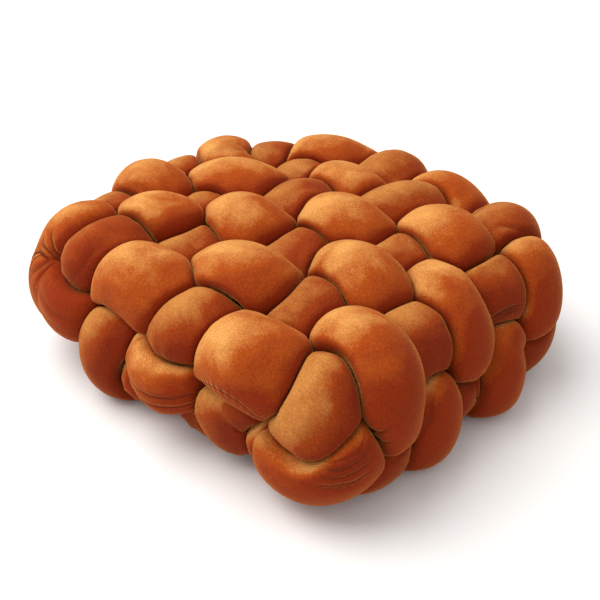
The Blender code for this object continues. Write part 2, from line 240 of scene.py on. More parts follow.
def wrapping_y_ring(i):
    """Middle line of an inner ring along Y: over the top to +Y, down, and back under the cushion."""
    keys = top_pass_y(i)
    keys += side_keys("back", i, "over" if x_ring_over(i, COUNT - 1) else "under")
    keys += [base_key(i, j, (i + j) % 2 == 1) for j in reversed(range(1, COUNT - 1))]
    keys += reversed(side_keys("front", i, "over" if x_ring_over(i, 0) else "under"))
    return keys


def turn_keys(name, corner, past, outside):
    """The turn of an edge ring at a corner, from the top down."""
    x, y = corner
    return [(x + past[0] * along + outside[0] * out, y + past[1] * along + outside[1] * out, height)
            for along, out, height in CORNER_TURNS[name]]


def edge_x_ring(j):
    """Middle line of the first or last ring along X: out on top, back at half height on its side."""
    side, outside = ("front", (0, -1)) if j == 0 else ("back", (0, 1))
    keys = top_pass_x(j)
    keys += turn_keys("x%d at +X" % j, crossing(0, j), (1, 0), outside)
    for i in range(1, COUNT - 1):
        keys += side_keys(side, i, "pass_in" if x_ring_over(i, j) else "pass_out")
    keys += reversed(turn_keys("x%d at -X" % j, crossing(COUNT - 1, j), (-1, 0), outside))
    return keys


def edge_y_ring(i):
    """Middle line of the first or last ring along Y: out on top, back at half height on its side."""
    side, outside = ("right", (1, 0)) if i == 0 else ("left", (-1, 0))
    keys = top_pass_y(i)
    keys += turn_keys("y%d at +Y" % i, crossing(i, COUNT - 1), (0, 1), outside)
    for j in reversed(range(1, COUNT - 1)):
        keys += side_keys(side, j, "pass_out" if x_ring_over(i, j) else "pass_in")
    keys += reversed(turn_keys("y%d at -Y" % i, crossing(i, 0), (0, -1), outside))
    return keys


def spaced_along(line, count):
    """Evenly spaced points along a closed line."""
    loop = np.concatenate([line, line[:1]])
    length = np.concatenate([[0.0], np.cumsum(np.linalg.norm(np.diff(loop, axis=0), axis=1))])
    places = np.linspace(0.0, length[-1], count, endpoint=False)
    return np.stack([np.interp(places, length, loop[:, axis]) for axis in range(3)], axis=1)


def closed_curve(keys, count):
    """Evenly spaced points on a smooth closed curve, with a cubic from each key to the next."""
    points = np.array(keys) * PITCH
    n = len(points)
    step = np.linalg.norm(np.roll(points, -1, axis=0) - points, axis=1)
    before = np.roll(step, 1)
    slopes = np.zeros((n, n))
    pull = np.zeros((n, 3))
    for k in range(n):        # the bend is the same on both sides of a key
        slopes[k, k - 1] = step[k]
        slopes[k, k] = 2.0 * (step[k] + before[k])
        slopes[k, (k + 1) % n] = before[k]
        ahead = (points[(k + 1) % n] - points[k]) / step[k]
        behind = (points[k] - points[k - 1]) / before[k]
        pull[k] = 3.0 * (step[k] * behind + before[k] * ahead)
    tangents = np.linalg.solve(slopes, pull)
    fine = []
    for k in range(n):
        a, b = points[k], points[(k + 1) % n]
        ta, tb = tangents[k] * step[k], tangents[(k + 1) % n] * step[k]
        for t in np.linspace(0.0, 1.0, BETWEEN_KEYS, endpoint=False):
            fine.append(a * (2 * t ** 3 - 3 * t ** 2 + 1) + ta * (t ** 3 - 2 * t ** 2 + t)
                        + b * (3 * t ** 2 - 2 * t ** 3) + tb * (t ** 3 - t ** 2))
    return spaced_along(np.array(fine), count)


def give_way(lines):
    """Push middle lines that run too close apart, each by half of what is missing."""
    names = list(lines)
    start = np.concatenate([lines[name] for name in names])
    ring = np.repeat(np.arange(len(names)), PATH_SAMPLES)
    place = np.tile(np.arange(PATH_SAMPLES), len(names))
    turn = np.abs(place[:, None] - place[None, :])
    turn = np.minimum(turn, PATH_SAMPLES - turn)
    spacing = np.array([np.linalg.norm(lines[name][1] - lines[name][0]) for name in names])
    itself = (ring[:, None] == ring[None, :]) & (turn * spacing[ring][:, None] < REACH_ALONG * PITCH)
    moved = np.zeros_like(start)
    for _ in range(GIVING_STEPS):
        points = start + moved
        apart = np.linalg.norm(points[:, None] - points[None, :], axis=2)
        apart[itself] = np.inf
        nearest = apart.argmin(axis=1)
        distance = apart[np.arange(len(points)), nearest]
        missing = np.maximum(0.0, CLEARANCE * PITCH - distance)
        away = (points - points[nearest]) / distance[:, None]
        push = (away * missing[:, None] / 2).reshape(len(names), PATH_SAMPLES, 3)
        for _ in range(GIVING_EVEN):
            push = (np.roll(push, 1, axis=1) + 2 * push + np.roll(push, -1, axis=1)) / 4
        moved += GIVING * push.reshape(-1, 3)
    return {name: (start + moved)[ring == k] for k, name in enumerate(names)}


def ring_frame(points):
    """Two directions across the tube at each point: out of the ring, and across its plane."""
    along = np.roll(points, -1, axis=0) - np.roll(points, 1, axis=0)
    along /= np.linalg.norm(along, axis=1)[:, None]
    middle = points - points.mean(axis=0)
    plane = np.cross(middle, np.roll(middle, -1, axis=0)).sum(axis=0)
    plane /= np.linalg.norm(plane)
    outward = np.cross(along, plane)
    outward /= np.linalg.norm(outward, axis=1)[:, None]
    return outward, np.cross(along, outward)


ways = {}
for index in range(COUNT):
    edge = index in (0, COUNT - 1)
    ways["ring_x%d" % index] = edge_x_ring(index) if edge else wrapping_x_ring(index)
    ways["ring_y%d" % index] = edge_y_ring(index) if edge else wrapping_y_ring(index)

lines = give_way({name: closed_curve(keys, PATH_SAMPLES) for name, keys in ways.items()})


# --- The stuffing ---------------------------------------------------------------------------------
# Each tube is filled with loose fibre until it is round and full. Where two tubes press on each other
# they share a flat face, and where nothing presses they stand round.

STATIONS = 412                # sections along a tube
SIDES = 96                    # points round each section
FELT = 420                    # points of a middle line that the tubes beside it feel
EASE = 14.0                   # how sharply a tube turns into a shared face
FOLD = 0.93                   # the ratio at which a tube meets itself inside its tight turns
FEELING = 2.6                 # how far off a tube feels other lines, in its full radii
OPEN = 3.0                    # how far it could reach where it meets nothing, in the same
CLEAR = 0.0004                # metres between two tubes pressed together
EVENING = 3                   # rounds of evening out the finished skin


def press(centre, directions, rivals, free, ratio):
    """How far from its middle line a tube reaches before it meets the tubes round other points. A ratio
    of 1 gives half of the way to them. Less lets it go a little further, and leaves out points that
    lie almost beside it, as those of its own line do."""
    offset = rivals - centre
    square = (offset ** 2).sum(axis=1)
    near = (square > 1e-9) & (square < (FEELING * free) ** 2)         # and not the point itself
    reach = np.full(len(directions), OPEN * free)
    if near.any():
        facing = directions @ offset[near].T
        root = facing ** 2 - (1.0 - ratio * ratio) * square[near]
        meets = (facing > 0.0) & (root > 0.0)
        divisor = np.where(meets, facing + np.sqrt(np.maximum(root, 0.0)), 1.0)
        reach = np.where(meets, square[near] / divisor, OPEN * free).min(axis=1)
    return np.minimum(reach, OPEN * free)


def eased(free, shared):
    """The smaller of two radii, with a round turn between them."""
    return (free ** -EASE + shared ** -EASE) ** (-1.0 / EASE)


def stuffed(own, rivals, free):
    """A stuffed tube: its middle points, the directions round them, and how far it reaches in each."""
    centres = spaced_along(own, STATIONS)
    outward, across = ring_frame(centres)
    angles = np.linspace(0.0, 2.0 * math.pi, SIDES, endpoint=False)[None, :, None]
    directions = np.cos(angles) * outward[:, None] + np.sin(angles) * across[:, None]
    shared = np.zeros((STATIONS, SIDES))
    for k, centre in enumerate(centres):
        reach = press(centre, directions[k], rivals, free, 1.0) - CLEAR / 2.0
        shared[k] = np.minimum(reach, press(centre, directions[k], own, free, FOLD))
    return centres, directions, eased(free, shared)


def direction(name):
    """The axis that a ring runs along: the letter in its name."""
    return name[len("ring_")]


smooth = {name: closed_curve(line / PITCH, FELT) for name, line in lines.items()}
tubes = {}
for name, own in smooth.items():
    rivals = np.concatenate([line for other, line in smooth.items() if other != name])
    tubes[name] = stuffed(own, rivals, TUBE[direction(name)] * PITCH)


# --- Lumps, wrinkles and folds --------------------------------------------------------------------
# Loose fibre never fills a tube evenly. Where a tube bends sharply the velvet inside the bend has too
# much length and wrinkles, and a few folds run out from where a tube dives under its neighbours.

LUMP = 0.0018                 # depth of the hollows between lumps of fibre, in metres
LUMP_SIZE = 0.050             # and how far apart they lie
WRINKLE = 0.0026              # depth of a wrinkle inside a bend
WRINKLE_STEP = 0.015          # how far apart they lie along the middle of the tube
WRINKLE_STRAY = 0.030         # over what length a wrinkle strays
WRINKLE_FADE = 0.040          # and over what length it comes and goes
BEND = (0.35, 0.95)           # how sharp a bend is that starts to wrinkle, and that wrinkles fully
BEND_EVEN = 4                 # rounds of evening out how a tube bends
SWELL_WAVES = 10              # waves that make up an uneven value

# What a tube feels of the tube that it faces, in metres between their skins.
NEAR = 0.018                  # the farthest that it feels
LIFT = 0.0003                 # how far off its own skin it starts to feel
FILLINGS = 3                  # how often the hollows between tubes are filled
FILLED = (0.45, 0.95)         # gaps that are filled fully, and no more, in shares of NEAR
FILL_EVEN = 6                 # rounds of evening out a filling
LOOSE = (0.001, 0.007)        # gaps from which the skin is free to be uneven, and wholly free
FOLDED = (0.0, 0.003)         # and the same for a fold
CONTACT_SHADE_GAPS = (0.0008, 0.0040)    # gaps up to which the painted contact shade is full, and up to which there is any


def swell(points, size, seed):
    """A smooth uneven value, about -1 to 1, that changes over the given distance."""
    picks = np.random.default_rng(seed)
    total = np.zeros(points.shape[:-1])
    for _ in range(SWELL_WAVES):
        wave = picks.normal(size=3)           # from 1.4 to 3 times as long as the distance
        wave *= 2.0 * math.pi / (size * picks.uniform(1.4, 3.0)) / np.linalg.norm(wave)
        total += np.sin(points @ wave + picks.uniform(0.0, 2.0 * math.pi))
    return total / SWELL_WAVES ** 0.5


def eased_step(value, start, end):
    """0 up to start, 1 from end, and a smooth climb between them."""
    part = np.clip((value - start) / (end - start), 0.0, 1.0)
    return part * part * (3.0 - 2.0 * part)


def evened(field, rounds):
    """A field on a tube, evened out along and round it."""
    for _ in range(rounds):
        field = (np.roll(field, 1, axis=0) + 2.0 * field + np.roll(field, -1, axis=0)) / 4.0
        field = (np.roll(field, 1, axis=1) + 2.0 * field + np.roll(field, -1, axis=1)) / 4.0
    return field


def outward_normals(points):
    """The way that each point of a tube's skin faces."""
    ahead = np.roll(points, -1, axis=0) - np.roll(points, 1, axis=0)
    aside = np.roll(points, -1, axis=1) - np.roll(points, 1, axis=1)
    normal = np.cross(ahead, aside)
    normal /= np.maximum(np.linalg.norm(normal, axis=2), 1e-12)[:, :, None]
    outside = (normal * (points - points.mean(axis=1, keepdims=True))).sum(axis=2)
    return normal * np.where(outside.mean() < 0.0, -1.0, 1.0)


def four_sided(stations, sides):
    """The faces of a closed tube, as the numbers of their corners."""
    rows = np.arange(stations)[:, None]
    columns = np.arange(sides)[None, :]
    ahead = (rows + 1) % stations
    aside = (columns + 1) % sides
    return np.stack([rows * sides + columns, rows * sides + aside,
                     ahead * sides + aside, ahead * sides + columns], axis=2).reshape(-1, 4)


def gaps_before(skins):
    """How far each point of every skin stands from what it faces, or NEAR where that is more."""
    corners = np.concatenate([points.reshape(-1, 3) for points in skins.values()])
    faces = four_sided(STATIONS, SIDES)
    every = np.concatenate([faces + k * STATIONS * SIDES for k in range(len(skins))])
    tree = BVHTree.FromPolygons(corners.tolist(), every.tolist())
    gaps = {}
    for name, points in skins.items():
        normals = outward_normals(points)
        starts = (points + LIFT * normals).reshape(-1, 3).tolist()
        hits = [tree.ray_cast(start, normal, NEAR)[3]
                for start, normal in zip(starts, normals.reshape(-1, 3).tolist())]
        found = np.array([NEAR if hit is None else min(NEAR, hit + LIFT) for hit in hits])
        gaps[name] = found.reshape(points.shape[:2])
    return gaps


# Sharp folds in single places: the tube, where the fold starts and ends, along and round the tube as
# shares of its length and girth, and how deep it is in millimetres.
FOLDS = (
    ("ring_x0", (0.990, 0.300), (0.992, 0.190), 2.4),
    ("ring_x0", (0.985, 0.300), (0.977, 0.190), 3.4),
    ("ring_x0", (0.979, 0.310), (0.963, 0.190), 3.6),
    ("ring_x0", (0.972, 0.330), (0.951, 0.195), 3.4),
    ("ring_x0", (0.935, 0.380), (0.940, 0.230), 2.8),
    ("ring_x0", (0.926, 0.390), (0.930, 0.260), 2.4),
    ("ring_y0", (0.288, 0.203), (0.310, 0.250), 2.4),
    ("ring_y0", (0.287, 0.186), (0.309, 0.230), 1.9),
    ("ring_y0", (0.147, 0.120), (0.157, 0.117), 1.2),
    ("ring_y0", (0.147, 0.142), (0.157, 0.139), 1.3),
    ("ring_y0", (0.146, 0.164), (0.156, 0.161), 1.3),
    ("ring_y0", (0.145, 0.186), (0.155, 0.183), 1.2),
    ("ring_x0", (0.4665, 0.205), (0.4475, 0.070), 3.0),
    ("ring_x0", (0.4715, 0.200), (0.4515, 0.060), 3.0),
    ("ring_x0", (0.4765, 0.190), (0.4560, 0.050), 2.6),
    ("ring_x0", (0.712, 0.200), (0.670, 0.208), 2.0),
    ("ring_x0", (0.706, 0.160), (0.674, 0.168), 1.5),
    ("ring_x0", (0.908, 0.275), (0.880, 0.215), 1.3),
    ("ring_x0", (0.914, 0.225), (0.887, 0.165), 1.1),
    ("ring_x1", (0.472, 0.168), (0.461, 0.100), 2.4),
    ("ring_x1", (0.478, 0.150), (0.468, 0.085), 1.5),
    ("ring_y1", (0.347, 0.095), (0.363, 0.210), 2.0),
    ("ring_y3", (0.369, 0.060), (0.377, 0.130), 1.7),
    ("ring_x2", (0.006, 0.170), (0.020, 0.115), 1.5),
    ("ring_x2", (0.470, 0.135), (0.451, 0.060), 1.5),
    ("ring_x4", (0.007, 0.965), (0.021, 0.030), 1.5),
    ("ring_y4", (0.974, 0.035), (0.991, 0.000), 1.4),
)
FOLD_WIDTH = 0.0028           # half the width of a fold
LIP = 0.35                    # how far the cloth beside it rises, as a share of its depth
LIP_WIDTH = 2.6               # and how wide that rise is, in widths of the fold
FOLD_FULL_SHADE = 0.0028         # depth of a fold at which its painted shade would be full
FOLD_MOST_SHADE = 0.75           # and the most painted shade that a fold gets
GIRTH = 2.0 * math.pi * TUBE["y"] * PITCH     # a tube's girth, for the shares of it in FOLDS and FANS


def creased(name, radius, step):
    """How deep the folds of a tube are at each of its points, in metres. A fold is deepest in its
    middle, and the cloth beside it rises a little."""
    stations, sides = radius.shape
    along = (np.arange(stations)[:, None] / stations) * np.ones((1, sides)) * step * stations
    about = (np.arange(sides)[None, :] / sides) * np.ones((stations, 1)) * GIRTH
    depth = np.zeros((stations, sides))
    for ring, start, end, deep in FOLDS:
        if ring != name:
            continue
        a = np.array(start) * (step * stations, GIRTH)
        b = np.array(end) * (step * stations, GIRTH)
        run = b - a
        share = np.clip(((along - a[0]) * run[0] + (about - a[1]) * run[1]) / (run ** 2).sum(), 0.0, 1.0)
        apart = np.hypot(along - a[0] - share * run[0], about - a[1] - share * run[1])
        lip = LIP * np.exp(-(apart / (LIP_WIDTH * FOLD_WIDTH)) ** 2)
        valley = np.exp(-(apart / FOLD_WIDTH) ** 2) - lip
        depth += 0.001 * deep * valley * np.sin(math.pi * (0.12 + 0.76 * share))
    return depth


# Creases too sharp for the mesh, side by side, which the velvet draws as bumps, with painted shade
# darkening their lines. A fan is given by its tube, its first and its last crease, the number of gaps
# between them, and how strong it is.
FANS = (
    ("ring_x0", ((0.4610, 0.200), (0.4440, 0.068)), ((0.4740, 0.192), (0.4550, 0.045)), 3, 0.6),
    ("ring_x0", ((0.9890, 0.310), (0.9950, 0.180)), ((0.9560, 0.345), (0.9400, 0.190)), 5, 1.0),
    ("ring_x0", ((0.7120, 0.205), (0.6700, 0.212)), ((0.7060, 0.165), (0.6740, 0.172)), 1, 0.7),
    ("ring_y0", ((0.2880, 0.188), (0.3100, 0.232)), ((0.2870, 0.208), (0.3095, 0.256)), 1, 0.9),
    ("ring_x1", ((0.4720, 0.175), (0.4600, 0.095)), ((0.4780, 0.160), (0.4675, 0.080)), 1, 0.7),
)


def fanned(name, radius, step):
    """How many gaps each point lies from the first crease of its fan, and how sharp the creases are."""
    stations, sides = radius.shape
    sizes = np.array((step * stations, GIRTH))
    spot = np.stack(np.meshgrid(np.arange(stations) / stations, np.arange(sides) / sides,
                                indexing="ij"), axis=2) * sizes
    count = np.zeros((stations, sides))
    sharp = np.zeros((stations, sides))
    for ring, first, last, gap_count, strength in FANS:
        if ring != name:
            continue
        off = []              # how far each point lies from the first crease, and from the last
        for (start, end), other in ((first, last), (last, first)):
            run = (np.array(end) - start) * sizes
            square = np.array((-run[1], run[0])) / np.linalg.norm(run)        # towards the other
            square = square * np.sign(((np.array(other).mean(axis=0) - start) * sizes) @ square)
            off.append((spot - np.array(start) * sizes) @ square)
        run = (np.array(first[1]) - first[0]) * sizes     # the way that the creases run
        share = (spot - np.array(first[0]) * sizes) @ run / (run ** 2).sum()
        wide = np.maximum(off[0] + off[1], 0.002)
        here = gap_count * off[0] / wide
        # The creases fade beyond both of their ends, and on both sides of the fan.
        deep = strength * eased_step(share, -0.15, 0.15) * (1.0 - eased_step(share, 0.75, 1.1))
        deep = deep * eased_step(here, -0.6, -0.2)
        deep = deep * (1.0 - eased_step(here - gap_count, 0.2, 0.6))
        count = np.where(deep > sharp, here, count)
        sharp = np.maximum(sharp, deep)
    return count, sharp


# The floor flattens what it carries.
skins = {}
for name, (centres, directions, radius) in tubes.items():
    floor = centres[:, 2:] / np.maximum(-directions[:, :, 2], 1e-6)
    points = centres[:, None] + np.minimum(radius, floor)[:, :, None] * directions
    skins[name] = evened(points, EVENING)

# The fibre is springy, so it also fills the hollows that are left where two tubes face each other.
for _ in range(FILLINGS):
    gaps = gaps_before(skins)
    for name, points in skins.items():
        room = np.maximum(gaps[name] - 2.0 * CLEAR, 0.0) / 2.0
        share = 1.0 - eased_step(gaps[name], FILLED[0] * NEAR, FILLED[1] * NEAR)
        climb = evened(room * share, FILL_EVEN)
        points = points + evened(np.minimum(climb, room), 1)[:, :, None] * outward_normals(points)
        points[:, :, 2] = np.maximum(points[:, :, 2], 0.0)
        skins[name] = points
gaps = gaps_before(skins)

painted_contact_shade = {}                  # painted shade where tubes press together and in folds, from 0 to 1
fans = {}                     # and where the velvet draws creases, as bumps with painted shade in their lines
for number, (name, (centres, directions, radius)) in enumerate(tubes.items()):
    points = skins[name]
    step = np.linalg.norm(np.roll(centres, -1, axis=0) - centres, axis=1).mean()
    turn = (np.roll(centres, 1, axis=0) - 2.0 * centres + np.roll(centres, -1, axis=0)) / step ** 2
    for _ in range(BEND_EVEN):
        turn = (np.roll(turn, 1, axis=0) + 2.0 * turn + np.roll(turn, -1, axis=0)) / 4.0
    inside = (directions * turn[:, None]).sum(axis=2) * radius
    hollow = LUMP * (0.5 + 0.5 * swell(points, LUMP_SIZE, 40 + number))
    along = np.arange(len(centres))[:, None] * step / WRINKLE_STEP
    stray = 2.5 * swell(points, WRINKLE_STRAY, 80 + number)
    wave = 0.5 - 0.5 * np.cos(2.0 * math.pi * along + stray)
    deep = 0.6 + 0.4 * swell(points, WRINKLE_FADE, 120 + number)
    wrinkles = WRINKLE * eased_step(inside, *BEND) * deep * wave ** 1.5
    loose = eased_step(evened(gaps[name], 2), *LOOSE)
    depth = np.clip(hollow, 0.0, 2.0 * LUMP) + np.clip(wrinkles, 0.0, 2.0 * WRINKLE)
    folds = eased_step(gaps[name], *FOLDED) * creased(name, radius, step)
    depth = loose * depth + folds
    points = points - depth[:, :, None] * outward_normals(points)
    points[:, :, 2] = np.maximum(points[:, :, 2], 0.0)
    skins[name] = points
    fans[name] = fanned(name, radius, step)
    # Painted shade: full where the skin all but touches what it faces, and in folds by their depth.
    in_folds = np.clip(folds / FOLD_FULL_SHADE, 0.0, FOLD_MOST_SHADE)
    painted_contact_shade[name] = np.maximum(1.0 - eased_step(evened(gaps[name], 1), *CONTACT_SHADE_GAPS), in_folds)


# --- The velvet tubes -----------------------------------------------------------------------------
# Stretch velvet with a short pile on a knitted ground: a strip of it is sewn lengthwise into each tube,
# and the tube is stuffed and sewn shut into a ring. Each tube is one closed skin.

PAINTED_LIGHT_FROM = np.array([-0.60, -0.15, 0.79])      # painted light: faces turned this way, towards the soft box, are painted lighter, and faces turned away darker

# Where the long seam runs, as places along a tube and round it, in shares of its length and its girth.
# On most tubes it lies on the inner side. On two it comes out to the front for a while.
HIDDEN_SEAM = ((0.0, 0.44),)
SEAMS = {"ring_x0": ((0.23, 0.44), (0.30, 0.297), (0.36, 0.316), (0.43, 0.44)),
         "ring_y0": ((0.21, 0.70), (0.27, 0.985), (0.31, 0.985), (0.37, 0.70))}

# Painted light and shade in stretches along some tubes: places along a tube, and how much lighter it is
# painted there; a value below 0 paints it darker.
PAINTED_LIGHT_PATCHES = {
    "ring_x0": ((0.12, 0.0), (0.15, 0.12), (0.19, 0.12), (0.22, 0.0),
                (0.44, 0.0), (0.46, -0.14), (0.50, -0.10), (0.54, 0.0),
                (0.80, 0.0), (0.875, -0.78), (0.92, -0.66), (0.955, -0.38), (0.985, -0.34),
                (0.03, 0.0)),
    "ring_x1": ((0.39, 0.0), (0.435, -0.22), (0.46, -0.10), (0.50, 0.0)),
    "ring_x2": ((0.36, 0.0), (0.40, -0.12), (0.44, 0.0)),
    "ring_y0": ((0.92, 0.0), (0.955, 0.42), (0.975, 0.36), (0.01, 0.08), (0.05, 0.0)),
    "ring_y1": ((0.94, 0.0), (0.97, 0.40), (0.985, 0.40), (0.01, 0.05),
                (0.05, 0.0), (0.08, -0.14), (0.11, -0.12), (0.14, 0.0)),
    "ring_y4": ((0.94, 0.0), (0.97, -0.34), (0.99, -0.34), (0.02, 0.0)),
}


def skin(ring, points, shade_at_contacts, fan, seam, material):
    """A closed tube of four-sided faces, with shares of its length and girth as its UV map, and with
    what the velvet is drawn from: its painted light and shade by the way each face turns, the painted
    shade where it presses on its neighbours and in its folds, its creases and its seam."""
    stations, sides = points.shape[:2]
    rows = np.arange(stations)[:, None]
    columns = np.arange(sides)[None, :]
    faces = four_sided(stations, sides)
    mesh = bpy.data.meshes.new("velvet_" + ring)
    mesh.vertices.add(stations * sides)
    mesh.vertices.foreach_set("co", points.reshape(-1))
    mesh.loops.add(len(faces) * 4)
    mesh.loops.foreach_set("vertex_index", faces.reshape(-1).astype(np.int32))
    mesh.polygons.add(len(faces))
    mesh.polygons.foreach_set("loop_start", np.arange(0, len(faces) * 4, 4, dtype=np.int32))
    along = rows / stations + 0.0 * columns
    round_it = columns / sides + 0.0 * rows
    one_on, one_round = 1.0 / stations, 1.0 / sides
    cloth = np.stack([np.stack([along, round_it], axis=2),
                      np.stack([along, round_it + one_round], axis=2),
                      np.stack([along + one_on, round_it + one_round], axis=2),
                      np.stack([along + one_on, round_it], axis=2)], axis=2)
    mesh.uv_layers.new(name="cloth").data.foreach_set("uv", cloth.reshape(-1))
    # Painted light and shade: a value for each point, by how far its face turns towards the soft box.
    painted_light = outward_normals(points) @ PAINTED_LIGHT_FROM
    # Painted light and shade, added along stretches of the tube.
    patch_values = np.array(PAINTED_LIGHT_PATCHES.get(ring, ((0.0, 0.0),)))
    painted_light = painted_light + np.interp(rows[:, 0] / stations, patch_values[:, 0], patch_values[:, 1], period=1.0)[:, None]
    # How far each corner of a face lies from the seam, round the tube. It runs on past half the girth
    # inside a face, so that no false seam is drawn where it turns over.
    where = np.array(seam)
    line = np.interp(rows[:, 0] / stations, where[:, 0], where[:, 1], period=1.0)[:, None]
    about = (columns / sides - line + 0.5) % 1.0 - 0.5
    shift = np.roll(line, -1, axis=0) - line
    sewn = np.stack([about, about + one_round, about + one_round - shift, about - shift], axis=2)
    # Among these are painted light and shade: the value by how each face turns, and the darkening where
    # tubes press together and in folds.
    for key, place, values in (("painted_light", "POINT", painted_light), ("painted_contact_shade", "POINT", shade_at_contacts),
                               ("fan", "POINT", fan[0]), ("fan_sharp", "POINT", fan[1]),
                               ("seam", "CORNER", sewn)):
        mesh.attributes.new(key, "FLOAT", place).data.foreach_set("value", values.reshape(-1))
    mesh.update()
    mesh.validate()
    mesh.shade_smooth()
    mesh.materials.append(material)
    tube = bpy.data.objects.new("velvet_" + ring, mesh)
    bpy.context.collection.objects.link(tube)
    return tube


def linear(hex_code):
    """An sRGB hex colour as the linear values that a shader takes."""
    parts = [int(hex_code[k:k + 2], 16) / 255.0 for k in (1, 3, 5)]
    return [p / 12.92 if p <= 0.04045 else ((p + 0.055) / 1.055) ** 2.4 for p in parts] + [1.0]


def add(tree, kind, settings=(), **links):
    """A node with its settings, and links from other sockets to its inputs. An input goes by its name,
    or by its number, as i2."""
    node = tree.nodes.new("ShaderNode" + kind)
    for key, value in dict(settings).items():
        if isinstance(key, str) and hasattr(node, key):
            setattr(node, key, value)
        else:
            node.inputs[key].default_value = value
    for key, socket in links.items():
        tree.links.new(socket, node.inputs[int(key[1:]) if key[1:].isdigit() else key.replace("_", " ")])
    return node


RIBS = 146                    # ribs of the knit round a tube
COURSES = 520                 # rows of its stitches along a tube
GATHERS = 200                 # puckers along its seam


